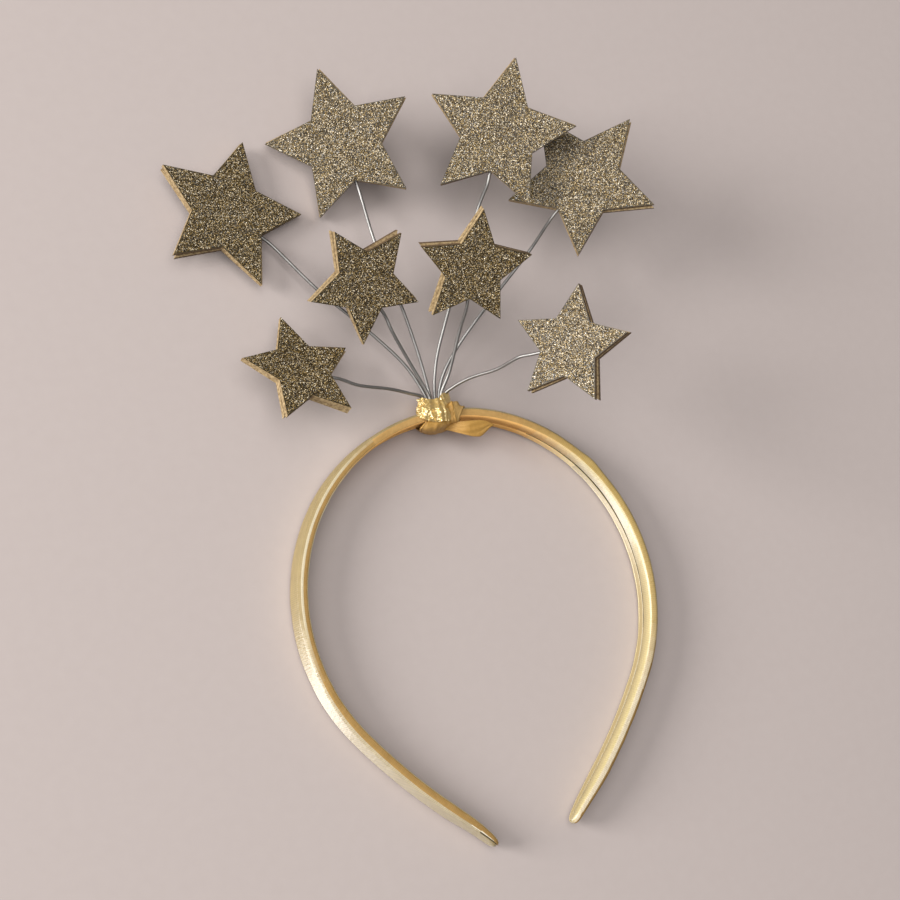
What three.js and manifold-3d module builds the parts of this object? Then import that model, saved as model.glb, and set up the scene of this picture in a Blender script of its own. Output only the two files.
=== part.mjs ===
// A star headband: a satin-covered hoop with eight glitter stars on bent wires, bound to its
// crown with a ribbon. Millimetres, +Z up. The hoop lies on its side: its crown and stars point
// towards +Y, its open ends towards -Y, and +Z is the side that faces forward when it is worn.
import * as THREE from "three";
import { mergeVertices } from "three/addons/utils/BufferGeometryUtils.js";
import Module from "manifold-3d";

const wasm = await Module();
wasm.setup();

// Clearance between pieces that touch
const GAP = 0.3;

// Hoop: one large arc about the origin, then a flatter leg at each end
const HOOP_RADIUS = 63.6;
const HOOP_HALF_ANGLE = THREE.MathUtils.degToRad(124.7);
const LEG_RADIUS = 200;
const LEG_LENGTH = 57;
const HOOP_STEP = 8;

// Band: the covered hoop, with a shallow channel on its inner side for the lining, whose front edge
// runs near the middle of that side
const BAND_WIDTH = 9.4;
const BAND_THICKNESS = 3.5;
const BAND_CORNER = 1.0;
const LINING_FRONT = -0.6;
const LINING_BACK = -3.0;
const LINING_THICKNESS = 1.0;
const LINING_PROUD = 0.3;
const LINING_CORNER = 0.3;

// Tips of the band: how its section shrinks over the last millimetres before each end
const BAND_TIP = [
  { beforeEnd: 0, size: 0.55 },
  { beforeEnd: 0.7, size: 0.78 },
  { beforeEnd: 2.2, size: 0.92 },
  { beforeEnd: 7, size: 1 },
];

// Ribbon wound round the band: how far it stands off the band at places along the crown
const WRAP_SECTIONS = [
  { along: -8.0, top: 0.9, front: 0.7, inside: 0.9 },
  { along: -5.6, top: 1.4, front: 0.9, inside: 2.4 },
  { along: -0.6, top: 1.5, front: 1.1, inside: 3.8 },
  { along: 4.6, top: 1.5, front: 1.0, inside: 3.2 },
  { along: 6.0, top: 2.4, front: 0.9, inside: 2.9 },
  { along: 7.8, top: 1.0, front: 0.8, inside: 2.7 },
  { along: 9.4, top: 0.8, front: 0.7, inside: 2.4 },
];
const WRAP_TOP = 1.5;
const WRAP_BACK = 0.7;
const WRAP_CORNER = 1.6;
// The turns run aslant: sideways shift for each millimetre outwards and each towards the front
const WRAP_SLANT = 0.55;
const WRAP_SKEW = -0.477;

// Gathered collar round the feet of the wires, from the wrap upwards
const COLLAR_SECTIONS = [
  { rise: 0, halfWidth: 6.9, halfDepth: 4.1 },
  { rise: 0.9, halfWidth: 6.6, halfDepth: 3.9 },
  { rise: 1.9, halfWidth: 6.3, halfDepth: 3.6 },
  { rise: 3.1, halfWidth: 6.6, halfDepth: 3.8 },
];
const COLLAR_POINTS = 36;
const COLLAR_GATHERS = 9;
const COLLAR_GATHER_DEPTH = 0.04;
const COLLAR_FOOT = HOOP_RADIUS + BAND_THICKNESS / 2 + GAP + WRAP_TOP + GAP;
const COLLAR_HEIGHT = COLLAR_SECTIONS.at(-1).rise;

// Loose ribbon end, a leaf below the crown on the right
const TAIL_THICKNESS = 1.0;
const TAIL_LENGTH = 12;
const TAIL_DEPTH = 5.2;
// Its outline, in shares of its length and depth: each curve's pull and end
const TAIL_ROOT_SHARE = -0.5;
const TAIL_CURVES = [
  { pullX: 0.47, pullY: -1.36, endX: 0.66, endY: -0.78 },
  { pullX: 0.84, pullY: -0.46, endX: 1, endY: -0.24 },
  { pullX: 0.55, pullY: 0.3, endX: 0, endY: 0 },
];
const TAIL_ROOT = { x: 5.8, y: 59.6, z: 4.6 };
const TAIL_SAG = THREE.MathUtils.degToRad(-8);
const TAIL_LEAN = THREE.MathUtils.degToRad(12);

// Wires and the way they stand in the collar
const WIRE_RADIUS = 0.6;
const WIRE_SIDES = 8;
const WIRE_STEP = 3.2;
const WIRE_ROW = 0.85;
// Straight run before a star, and how far into it the wire reaches, as a share of its radius
const WIRE_APPROACH = 4;
const WIRE_REACH = 0.15;

// Stars: two layers with a glue line between, and a channel for the wire
const STAR_LARGE = 26.4;
const STAR_SMALL = 20.5;
const STAR_INNER = 0.5;
const STAR_POINTS = 5;
const LAYER = 1.6;
const WIRE_CLEARANCE = 0.2;

// Each star: its centre, the lean of its face towards a heading, and the heading of the tip that
// lies opposite its wire. slip is how far its back layer is shifted and turned.
const STARS = [
  { radius: STAR_LARGE, at: [-57.3, 142.6, -0.9], lean: 5.6, toward: 8, turn: 138, slip: [0.4, -0.5, 1.5] },
  { radius: STAR_LARGE, at: [-13.6, 160.7, 6.2], lean: 27, toward: -153, turn: 98.4, slip: [0.2, 0.1, -1] },
  { radius: STAR_LARGE, at: [35.1, 152.3, 26], lean: 27.7, toward: -162, turn: 65.6, slip: [-0.2, 0.2, 0.8] },
  { radius: STAR_LARGE, at: [63, 133.3, 25.5], lean: 29.5, toward: -173, turn: 38.5, slip: [0.3, -0.2, -1] },
  { radius: STAR_SMALL, at: [-21.6, 109.2, 15], lean: 23.2, toward: -90, turn: 119.3, slip: [0.2, 0.5, 1.5] },
  { radius: STAR_SMALL, at: [12.2, 106.1, 28], lean: 34.6, toward: -106, turn: 79.7, slip: [-0.3, 0.3, -1] },
  { radius: STAR_SMALL, at: [-47.6, 84.1, 7], lean: 19, toward: 62, turn: 163.6, slip: [0.6, -0.4, -2] },
  { radius: STAR_SMALL, at: [33.2, 72.3, 42], lean: 48.6, toward: 175.5, turn: -6.5, slip: [0.2, 0.3, 1] },
];

// Each wire, in the order of the stars: its foot in the collar, and the bends on its way up
const WIRES = [
  { footX: -1.9, row: -1, bends: [[-6.2, 82, -0.9], [-17, 96.4, -1], [-31.7, 113, -1.2]] },
  { footX: -0.3, row: -1, bends: [[-1.6, 83.7, 0.8], [-5.1, 102.8, 3.6], [-10, 124.7, 5.4]] },
  { footX: 1.3, row: -1, bends: [[3.9, 82.1, 1.2], [9.9, 98, 8], [24, 129, 19.5]] },
  { footX: 2.9, row: -1, bends: [[5.7, 77.4, 0.4], [12.3, 86, 3.5], [28.7, 102, 13], [40.8, 112.8, 17.5]] },
  { footX: -1.5, row: 1, bends: [[-7.5, 83.5, 4.2], [-12.9, 93.1, 8.6]] },
  { footX: 3, row: 1, bends: [[6.1, 77, 4.5], [9.2, 89.1, 14]] },
  { footX: -3.9, row: 1, bends: [[-9.3, 72.8, 1.8], [-15.9, 74.8, 3], [-27.8, 77.3, 5]] },
  { footX: 4.5, row: 1, bends: [[7, 72.2, 4], [10.9, 73.2, 9.5], [16.7, 72.9, 19], [21.2, 73.9, 28.5]] },
];

const materials = {
  band: new THREE.MeshStandardMaterial({ color: 0xd3b479, roughness: 0.42, metalness: 0 }),
  lining: new THREE.MeshStandardMaterial({ color: 0xd9c08c, roughness: 0.5, metalness: 0 }),
  ribbon: new THREE.MeshStandardMaterial({ color: 0xc79a4a, roughness: 0.35, metalness: 0 }),
  wire: new THREE.MeshStandardMaterial({ color: 0xb4b2ad, roughness: 0.3, metalness: 1 }),
  glitter: new THREE.MeshStandardMaterial({ color: 0x8c7c55, roughness: 0.45, metalness: 0.6 }),
};

// A place along the hoop, with s measured from the crown towards +X, and its outward direction
function hoopStation(s) {
  const side = Math.sign(s) || 1;
  const arc = Math.min(Math.abs(s) / HOOP_RADIUS, HOOP_HALF_ANGLE);
  const leg = Math.max(Math.abs(s) - HOOP_RADIUS * HOOP_HALF_ANGLE, 0) / LEG_RADIUS;
  const out = new THREE.Vector2(Math.sin(arc + leg), Math.cos(arc + leg));
  const joint = new THREE.Vector2(Math.sin(arc), Math.cos(arc));
  const point = joint.multiplyScalar(HOOP_RADIUS - LEG_RADIUS).addScaledVector(out, LEG_RADIUS);
  return { x: side * point.x, y: point.y, outX: side * out.x, outY: out.y };
}

// A point of a section at s: u is measured outwards from the hoop's centreline and v along +Z
function hoopPoint(s, u, v) {
  const station = hoopStation(s);
  return new THREE.Vector3(station.x + u * station.outX, station.y + u * station.outY, v);
}

// Anticlockwise outline of a box with round corners
function roundedBox(uMin, uMax, vMin, vMax, corner) {
  const centres = [
    { u: uMax - corner, v: vMax - corner },
    { u: uMin + corner, v: vMax - corner },
    { u: uMin + corner, v: vMin + corner },
    { u: uMax - corner, v: vMin + corner },
  ];
  const arcSteps = 3;
  return centres.flatMap((centre, quarter) => {
    const points = [];
    for (let i = 0; i <= arcSteps; i++) {
      const angle = ((quarter + i / arcSteps) * Math.PI) / 2;
      const u = centre.u + corner * Math.cos(angle);
      const v = centre.v + corner * Math.sin(angle);
      points.push(new THREE.Vector2(u, v));
    }
    return points;
  });
}

// Closed solid through rings of equally many points, capped by the outline of its sections
function loft(rings, outline) {
  const count = outline.length;
  const index = [];
  for (let i = 0; i + 1 < rings.length; i++) {
    for (let j = 0; j < count; j++) {
      const a = i * count + j;
      const b = i * count + ((j + 1) % count);
      index.push(a, b, b + count, a, b + count, a + count);
    }
  }
  const lastRing = (rings.length - 1) * count;
  for (const [a, b, c] of THREE.ShapeUtils.triangulateShape(outline, [])) {
    index.push(a, c, b, lastRing + a, lastRing + b, lastRing + c);
  }
  const geometry = new THREE.BufferGeometry();
  const positions = rings.flat().flatMap((point) => point.toArray());
  geometry.setAttribute("position", new THREE.Float32BufferAttribute(positions, 3));
  geometry.setIndex(index);
  return geometry;
}

function toSolid(geometry) {
  const bare = geometry.clone();
  bare.deleteAttribute("normal");
  bare.deleteAttribute("uv");
  const merged = mergeVertices(bare);
  const vertProperties = new Float32Array(merged.attributes.position.array);
  const triVerts = new Uint32Array(merged.index.array);
  return new wasm.Manifold(new wasm.Mesh({ numProp: 3, vertProperties, triVerts }));
}

function subtract(geometry, cutter) {
  const cut = toSolid(geometry).subtract(toSolid(cutter)).getMesh();
  const result = new THREE.BufferGeometry();
  result.setAttribute("position", new THREE.BufferAttribute(new Float32Array(cut.vertProperties), 3));
  result.setIndex(new THREE.BufferAttribute(new Uint32Array(cut.triVerts), 1));
  return result;
}

function namedMesh(name, geometry, material) {
  const mesh = new THREE.Mesh(geometry, material.clone());
  mesh.name = name;
  return mesh;
}

// Places along the hoop from one end to the other, closer together at the tips
function bandStations() {
  const halfLength = HOOP_RADIUS * HOOP_HALF_ANGLE + LEG_LENGTH;
  const tip = BAND_TIP.map(({ beforeEnd, size }) => ({ s: halfLength - beforeEnd, size }));
  const full = tip.at(-1).s;
  const steps = Math.round((2 * full) / HOOP_STEP);
  const middle = [];
  for (let i = 1; i < steps; i++) {
    middle.push({ s: -full + (2 * full * i) / steps, size: 1 });
  }
  const left = tip.map(({ s, size }) => ({ s: -s, size }));
  return [...left, ...middle, ...tip.toReversed()];
}

function sweep(outline, stations) {
  const rings = stations.map(({ s, size }) => outline.map((p) => hoopPoint(s, p.x * size, p.y * size)));
  return loft(rings, outline);
}

function makeBand() {
  const outer = BAND_THICKNESS / 2;
  const half = BAND_WIDTH / 2;
  const channelFront = LINING_FRONT + GAP;
  const channelBack = LINING_BACK - GAP;
  const channelFloor = -outer + LINING_THICKNESS + GAP - LINING_PROUD;
  const outline = roundedBox(-outer, outer, -half, half, BAND_CORNER);
  const channel = [
    new THREE.Vector2(-outer, channelFront),
    new THREE.Vector2(channelFloor, channelFront),
    new THREE.Vector2(channelFloor, channelBack),
    new THREE.Vector2(-outer, channelBack),
  ];
  outline.splice(outline.length / 2, 0, ...channel);
  return namedMesh("band", sweep(outline, bandStations()), materials.band);
}

function makeLining() {
  const inner = -BAND_THICKNESS / 2 - LINING_PROUD;
  const outline = roundedBox(inner, inner + LINING_THICKNESS, LINING_BACK, LINING_FRONT, LINING_CORNER);
  return namedMesh("lining", sweep(outline, bandStations().slice(2, -2)), materials.lining);
}

// The wrap: a sleeve round the band, fuller below the crown, with a shoulder beside the collar
function makeWrap() {
  const hole = {
    uMin: -BAND_THICKNESS / 2 - LINING_PROUD - GAP,
    uMax: BAND_THICKNESS / 2 + GAP,
    vMax: BAND_WIDTH / 2 + GAP,
  };
  const outlines = WRAP_SECTIONS.map(({ top, front, inside }) =>
    roundedBox(hole.uMin - inside, hole.uMax + top, -hole.vMax - WRAP_BACK, hole.vMax + front, WRAP_CORNER),
  );
  const rings = outlines.map((outline, i) =>
    outline.map((p) => hoopPoint(WRAP_SECTIONS[i].along + WRAP_SLANT * p.x + WRAP_SKEW * p.y, p.x, p.y)),
  );
  const holeOutline = roundedBox(hole.uMin, hole.uMax, -hole.vMax, hole.vMax, BAND_CORNER);
  const wrapEnd = WRAP_SECTIONS.at(-1).along;
  const holeStations = [-2, -1, 0, 1, 2].map((step) => ({ s: step * wrapEnd, size: 1 }));
  const sleeve = subtract(loft(rings, outlines[0]), sweep(holeOutline, holeStations));
  return namedMesh("ribbon_wrap", sleeve, materials.ribbon);
}

// The collar: gathers run up its outside, and the wires stand in its hole
function makeCollar() {
  const rings = COLLAR_SECTIONS.map(({ rise, halfWidth, halfDepth }) => {
    const ring = [];
    for (let i = 0; i < COLLAR_POINTS; i++) {
      const angle = (2 * Math.PI * i) / COLLAR_POINTS;
      const swell = 1 + COLLAR_GATHER_DEPTH * Math.cos(COLLAR_GATHERS * angle);
      const x = halfWidth * swell * Math.sin(angle);
      const z = halfDepth * swell * Math.cos(angle);
      ring.push(new THREE.Vector3(x, COLLAR_FOOT + rise, z));
    }
    return ring;
  });
  const outline = rings[0].map((point) => new THREE.Vector2(point.z, point.x));
  const margin = WIRE_RADIUS + GAP;
  const feet = WIRES.map((wire) => wire.footX);
  const holeHalfDepth = WIRE_ROW + margin;
  const holeOutline = roundedBox(
    -holeHalfDepth,
    holeHalfDepth,
    Math.min(...feet) - margin,
    Math.max(...feet) + margin,
    margin,
  );
  const holeRings = [-1, COLLAR_HEIGHT + 1].map((rise) =>
    holeOutline.map((p) => new THREE.Vector3(p.y, COLLAR_FOOT + rise, p.x)),
  );
  const collar = subtract(loft(rings, outline), loft(holeRings, holeOutline));
  return namedMesh("ribbon_collar", collar, materials.ribbon);
}

// The tail: a leaf whose root lies against the wrap
function makeTail() {
  const leaf = new THREE.Shape();
  leaf.moveTo(0, 0);
  leaf.lineTo(0, TAIL_ROOT_SHARE * TAIL_DEPTH);
  for (const { pullX, pullY, endX, endY } of TAIL_CURVES) {
    leaf.quadraticCurveTo(
      pullX * TAIL_LENGTH,
      pullY * TAIL_DEPTH,
      endX * TAIL_LENGTH,
      endY * TAIL_DEPTH,
    );
  }
  const geometry = new THREE.ExtrudeGeometry(leaf, {
    depth: TAIL_THICKNESS,
    bevelEnabled: false,
    curveSegments: 6,
  });
  const tail = namedMesh("ribbon_tail", geometry, materials.ribbon);
  tail.position.set(TAIL_ROOT.x, TAIL_ROOT.y, TAIL_ROOT.z);
  tail.rotation.set(TAIL_LEAN, 0, TAIL_SAG);
  return tail;
}

function starOutline(radius) {
  const points = [];
  for (let i = 0; i < 2 * STAR_POINTS; i++) {
    const reach = i % 2 ? radius * STAR_INNER : radius;
    const angle = Math.PI / 2 + (i * Math.PI) / STAR_POINTS;
    points.push(new THREE.Vector2(reach * Math.cos(angle), reach * Math.sin(angle)));
  }
  return new THREE.Shape(points);
}

// One layer of a star, with its half of the wire's channel cut into the glued side
function makeLayer(name, star, base, [shiftX, shiftY, turn]) {
  const layer = new THREE.ExtrudeGeometry(starOutline(star.radius), { depth: LAYER, bevelEnabled: false });
  layer.rotateZ(THREE.MathUtils.degToRad(turn));
  layer.translate(shiftX, shiftY, base);
  const half = WIRE_RADIUS + WIRE_CLEARANCE;
  const channelTop = WIRE_REACH * star.radius + GAP;
  const channelLength = 2 * star.radius;
  const channel = new THREE.BoxGeometry(2 * half, channelLength, 2 * half);
  channel.translate(0, channelTop - channelLength / 2, 0);
  return namedMesh(name, subtract(layer, channel), materials.glitter);
}

function starTurn({ lean, toward, turn }) {
  const heading = THREE.MathUtils.degToRad(toward);
  const axis = new THREE.Vector3(-Math.sin(heading), Math.cos(heading), 0);
  const leaning = new THREE.Quaternion().setFromAxisAngle(axis, THREE.MathUtils.degToRad(lean));
  const upright = new THREE.Vector3(0, 0, 1);
  const turning = new THREE.Quaternion().setFromAxisAngle(upright, THREE.MathUtils.degToRad(turn - 90));
  return leaning.multiply(turning);
}

function makeStar(star, number) {
  const group = new THREE.Group();
  group.add(makeLayer(`star_${number}_front`, star, GAP / 2, [0, 0, 0]));
  group.add(makeLayer(`star_${number}_back`, star, -GAP / 2 - LAYER, star.slip));
  group.position.set(...star.at);
  group.quaternion.copy(starTurn(star));
  return group;
}

// A wire: up out of the collar, through its bends, and straight into its star
function makeWire(wire, star, number) {
  const z = wire.row * WIRE_ROW;
  const centre = new THREE.Vector3(...star.at);
  const inStar = (y) => new THREE.Vector3(0, y, 0).applyQuaternion(starTurn(star)).add(centre);
  const valley = -STAR_INNER * star.radius;
  const path = new THREE.CatmullRomCurve3([
    new THREE.Vector3(wire.footX, COLLAR_FOOT + GAP, z),
    new THREE.Vector3(wire.footX, COLLAR_FOOT + COLLAR_HEIGHT, z),
    ...wire.bends.map((bend) => new THREE.Vector3(...bend)),
    inStar(valley - WIRE_APPROACH),
    inStar(valley),
    inStar(WIRE_REACH * star.radius),
  ]);
  const section = new THREE.Shape().absarc(0, 0, WIRE_RADIUS, 0, 2 * Math.PI);
  const geometry = new THREE.ExtrudeGeometry(section, {
    steps: Math.round(path.getLength() / WIRE_STEP),
    curveSegments: WIRE_SIDES / 2,
    extrudePath: path,
    bevelEnabled: false,
  });
  return namedMesh(`wire_${number}`, geometry, materials.wire);
}

const headband = new THREE.Group();
headband.add(makeBand(), makeLining(), makeWrap(), makeCollar(), makeTail());
STARS.forEach((star, i) => {
  headband.add(makeWire(WIRES[i], star, i + 1), makeStar(star, i + 1));
});

// At rest the back of the wrap and the two legs touch the ground, which pitches the hoop slightly
const legContact = hoopStation(bandStations().at(-BAND_TIP.length).s);
headband.rotation.x = Math.asin((GAP + WRAP_BACK) / (HOOP_RADIUS - legContact.y));

// The origin is the middle of the underside
headband.updateMatrixWorld(true);
const box = new THREE.Box3().setFromObject(headband, true);
const middle = box.getCenter(new THREE.Vector3());
headband.position.set(-middle.x, -middle.y, -box.min.z);

const part = new THREE.Group();
part.add(headband);
export default part;
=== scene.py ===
import math

import bmesh
import bpy
import numpy as np
from mathutils import Matrix, Vector, noise


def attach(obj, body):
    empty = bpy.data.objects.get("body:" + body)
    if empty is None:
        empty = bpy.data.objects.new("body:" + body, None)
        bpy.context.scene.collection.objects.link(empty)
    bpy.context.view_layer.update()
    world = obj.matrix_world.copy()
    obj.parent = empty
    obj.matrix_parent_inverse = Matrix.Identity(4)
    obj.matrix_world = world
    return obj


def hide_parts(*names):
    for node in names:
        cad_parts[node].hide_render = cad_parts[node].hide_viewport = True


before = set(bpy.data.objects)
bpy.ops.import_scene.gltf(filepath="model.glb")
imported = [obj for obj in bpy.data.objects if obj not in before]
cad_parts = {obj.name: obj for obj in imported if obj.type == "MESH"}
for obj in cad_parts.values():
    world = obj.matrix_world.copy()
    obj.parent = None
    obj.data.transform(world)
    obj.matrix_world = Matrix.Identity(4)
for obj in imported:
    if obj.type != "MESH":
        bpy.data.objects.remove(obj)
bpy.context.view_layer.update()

# Sizes are in millimetres, in the hoop's own axes: its arc is centred on the origin, its crown lies
# towards +Y, and +Z is the front.
MM = 0.001
HOOP_CENTRE = Vector((-1.5335, -54.123, 5.2687))
HOOP_PITCH = 0.0073022
PLACE = Matrix.Translation(HOOP_CENTRE) @ Matrix.Rotation(HOOP_PITCH, 4, "X")

# Hoop: one large arc, then a flatter leg at each end
HOOP_RADIUS = 63.6
HOOP_HALF_ANGLE = math.radians(124.7)
LEG_RADIUS = 200.0
LEG_LENGTH = 57.0
HALF_LENGTH = HOOP_RADIUS * HOOP_HALF_ANGLE + LEG_LENGTH

# Band: the covered hoop, with a rounder corner between its front and its outer side
BAND_HALF_WIDTH = 4.7
BAND_HALF_THICKNESS = 1.75
BAND_CORNER = 1.0
BAND_OUTER_CORNER = 1.65
BAND_CORNER_STEPS = 9
BAND_STEP = 0.6
# Its unevenness: the height and size of the swellings, which fade inside this share of the section
BAND_UNEVEN = 0.09
BAND_UNEVEN_SIZE = 5.0
BAND_UNEVEN_CORE = 0.5
# Its section near the ends, as a share of the full one
BAND_TIP = [
    {"before_end": 0.0, "size": 0.2},
    {"before_end": 0.15, "size": 0.34},
    {"before_end": 0.5, "size": 0.46},
    {"before_end": 1.2, "size": 0.57},
    {"before_end": 2.4, "size": 0.66},
    {"before_end": 4.0, "size": 0.72},
    {"before_end": 8.0, "size": 0.82},
    {"before_end": 12.0, "size": 0.91},
    {"before_end": 16.0, "size": 0.97},
    {"before_end": 20.0, "size": 1.0},
]
# How far each end turns outwards, over its last stretch
END_FLARES = [
    {"end": -1, "length": 13.0, "shift": 1.8},
    {"end": 1, "length": 10.0, "shift": 0.8},
]
# Loose cover on the outer side of the right arm, and the fold in it at the left end
BUMP_AT = 59.0
BUMP_LENGTH = 4.0
BUMP_HEIGHT = 0.55
END_FOLD_LENGTH = 9.0
END_FOLD_DEPTH = 0.9
END_FOLD_BREADTH = 0.3

# Lining: a ribbon in a channel of the band's inner side. Its front edge is the seam, which stands open in
# the middle of each arm.
LINING_FRONT = -0.6
LINING_BACK = -3.0
LINING_PROUD = 0.2
LINING_DEPTH = 0.7
LINING_SHORT = 0.4
LINING_CORNER = 0.15
LINING_CORNER_STEPS = 3
# Sides of the channel in the band's outline, and the points of its front side
CHANNEL_SIDES = 3
CHANNEL_FRONT_POINTS = 2
# The seam's gap, the stretch at each end without it, its opening, and its stretch painted dark as shade
SEAM_GAP = 0.2
SEAM_SHORT = 2.5
SEAM_OPEN_AT = 66.0
SEAM_OPEN_LENGTH = 24.0
SEAM_OPENING = 0.5
SEAM_SHADE_FROM = 34.0
SEAM_SHADE_TO = 121.0

# Tones of the band, painted light and shade, change in even steps along the hoop, counted from the crown.
# Sides of the section that turn no further than this from front and back are edges, and the next ones
# belong to a corner.
SHADES = 7
EDGE_FACING = math.cos(math.radians(32))
CORNER_FACING = math.cos(math.radians(68))
# The painted light on the front and the inner side changes between the crown and the arms
SHADE_FROM = 28.0
SHADE_TO = 58.0
# The outer half of the left arm's front carries a pale rim, a painted highlight. The corner beside it is
# a dull copy of the satin above the shine, painted so that it shows none.
RIM_FROM = 0.15
RIM_START = 22.0
RIM_END = 118.0
RIM_FADE = 22.0
CORNER_DULL_TO = 94.0
CORNER_SHINY_FROM = 112.0
# From the inner side up to here, the front of the crown and the right arm is painted in lit tones. On the
# leg it grows paler, a painted highlight.
LIT_TO = 1.1
LEG_PALE_FROM = 118.0
LEG_PALE_TO = 146.0
# A brown edge of painted shade widens down the leg beside it, from the outer side
LEG_EDGE = [
    {"along": 104.0, "brown_from": 1.65},
    {"along": 150.0, "brown_from": 0.35},
]
# Marks in the cover near its ends: the end, the mark's reach from it, the sides of the section, the tone.
# They are painted light: shade in the left fold's slit and at the right end, a highlight on the fold's edge
END_MARKS = [
    {"end": -1, "near": 0.0, "far": 4.5, "first": 2, "last": 3, "tone": "dark"},
    {"end": -1, "near": 0.0, "far": 6.0, "first": 4, "last": 4, "tone": "dark"},
    {"end": -1, "near": 1.2, "far": 9.5, "first": 5, "last": 5, "tone": "pale"},
    {"end": -1, "near": 1.2, "far": 7.0, "first": 6, "last": 6, "tone": "pale"},
    {"end": 1, "near": 3.6, "far": 5.0, "first": 6, "last": 8, "tone": "brown"},
]

# Ribbon wound round the crown: how far it stands off the band
WRAP_SECTIONS = [
    {"along": -7.6, "top": 0.4, "front": 0.5, "inside": 0.15},
    {"along": -5.4, "top": 1.1, "front": 0.8, "inside": 1.5},
    {"along": -3.2, "top": 1.4, "front": 1.0, "inside": 2.5},
    {"along": -0.9, "top": 1.5, "front": 1.1, "inside": 3.0},
    {"along": 2.5, "top": 1.6, "front": 1.1, "inside": 3.0},
    {"along": 5.0, "top": 1.8, "front": 1.0, "inside": 2.4},
    {"along": 6.4, "top": 1.8, "front": 0.9, "inside": 1.9},
    {"along": 7.8, "top": 0.6, "front": 0.8, "inside": 1.6},
    {"along": 9.6, "top": 0.1, "front": 0.5, "inside": 1.3},
]
WRAP_BACK = 0.7
WRAP_ROUNDNESS = 4.6
WRAP_SLANT = 0.55
WRAP_SKEW = -0.477
WRAP_CLEARANCE = 0.3
WRAP_STEP = 0.16
WRAP_COLUMNS = 120
# Its folds: where each crosses the band's middle, its slant, its breadth and its height. At the flat edge
# the front comes down to the band, which is bare left of it. Right of the facet's edge the ribbon turns to
# the light, and there it is painted in a lit tone.
FLAT_EDGE = {"at": -1.8, "slant": 1.25, "breadth": 0.25, "height": -0.35}
FACET_EDGE = {"at": 6.6, "slant": -0.62, "breadth": 0.35, "height": 0.3}
WRAP_FOLDS = [
    FLAT_EDGE,
    {"at": -1.1, "slant": 1.25, "breadth": 0.3, "height": 0.3},
    {"at": -0.4, "slant": 1.25, "breadth": 0.25, "height": -0.2},
    {"at": 2.0, "slant": -0.9, "breadth": 0.6, "height": -0.2},
    {"at": 3.4, "slant": 0.5, "breadth": 0.7, "height": 0.15},
    {"at": 5.2, "slant": -0.5, "breadth": 0.4, "height": -0.35},
    FACET_EDGE,
    {"at": 9.4, "slant": 0.0, "breadth": 0.2, "height": 0.1},
]
FLAT_BLEND = 0.8
FLAT_LIFT = 0.1
FACET_MARGIN = 0.4
WRAP_CRUMPLE = 0.12
WRAP_CRUMPLE_SIZE = 1.5

# Gathered collar round the feet of the wires, aslant like the wrap: its half width and half depth at
# each height
COLLAR_PROFILE = [
    {"y": 60.4, "half_width": 6.4, "half_depth": 6.7},
    {"y": 62.0, "half_width": 7.0, "half_depth": 7.3},
    {"y": 64.0, "half_width": 7.3, "half_depth": 7.4},
    {"y": 65.6, "half_width": 7.2, "half_depth": 6.9},
    {"y": 66.8, "half_width": 6.9, "half_depth": 6.0},
    {"y": 67.8, "half_width": 6.5, "half_depth": 4.9},
    {"y": 69.0, "half_width": 6.1, "half_depth": 4.2},
    {"y": 70.6, "half_width": 6.1, "half_depth": 4.1},
    {"y": 71.8, "half_width": 6.2, "half_depth": 4.2},
]
COLLAR_OFFSET = 0.25
# Its lower hem and upper rim at headings round it, from the front towards +X
COLLAR_EDGES = [
    {"heading": -180, "hem": 67.3, "rim": 70.3},
    {"heading": -110, "hem": 66.4, "rim": 69.9},
    {"heading": -85, "hem": 64.8, "rim": 69.6},
    {"heading": -60, "hem": 63.6, "rim": 70.0},
    {"heading": -34, "hem": 62.0, "rim": 70.1},
    {"heading": -5, "hem": 60.7, "rim": 69.2},
    {"heading": 15, "hem": 60.5, "rim": 69.2},
    {"heading": 33, "hem": 60.5, "rim": 70.2},
    {"heading": 50, "hem": 61.5, "rim": 70.8},
    {"heading": 75, "hem": 64.4, "rim": 71.1},
    {"heading": 110, "hem": 66.6, "rim": 70.6},
    {"heading": 180, "hem": 67.3, "rim": 70.3},
]
COLLAR_ROUNDNESS = 2.8
COLLAR_COLUMNS = 300
COLLAR_ROWS = 70
# Its creases: the heading of each, its breadth in degrees and its height
COLLAR_CREASES = [
    {"heading": -88, "breadth": 8, "height": -0.3},
    {"heading": -62, "breadth": 7, "height": 0.3},
    {"heading": -40, "breadth": 5, "height": -0.3},
    {"heading": -1, "breadth": 4, "height": -0.8},
    {"heading": 8, "breadth": 3.5, "height": 0.25},
    {"heading": 15, "breadth": 3, "height": -0.3},
    {"heading": 21, "breadth": 3, "height": 0.2},
    {"heading": 27, "breadth": 3, "height": -0.3},
    {"heading": 60, "breadth": 18, "height": -1.2},
    {"heading": 130, "breadth": 7, "height": -0.4},
    {"heading": 172, "breadth": 7, "height": 0.3},
    {"heading": -140, "breadth": 8, "height": -0.4},
]
# Its crumples: the size of each kind and its height
COLLAR_CRUMPLES = [
    {"size": 3.0, "height": 0.6},
    {"size": 1.4, "height": 0.3},
    {"size": 0.7, "height": 0.12},
]
# The rim turns in to these shares of its width and depth, then down
COLLAR_LIP_WIDTH = 0.8
COLLAR_LIP_DEPTH = 0.7
COLLAR_WELL = 1.2

# Loose ribbon end, a leaf below the crown on the right, its root tucked into the wrap
TAIL_LENGTH = 16.2
TAIL_DEPTH = 4.8
TAIL_ROOT = Vector((1.6, 60.2, 5.2))
TAIL_SAG = math.radians(-8)
TAIL_LEAN = math.radians(12)
TAIL_THICKNESS = 0.5
TAIL_PUFF = 0.5
TAIL_WAVE = 0.08
TAIL_WAVES_ACROSS = 2.5
TAIL_WAVES_ALONG = 1.5
TAIL_TUCK = 4.0
TAIL_TUCK_SHARE = 0.48
TAIL_ROWS = 64
TAIL_COLUMNS = 24
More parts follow.
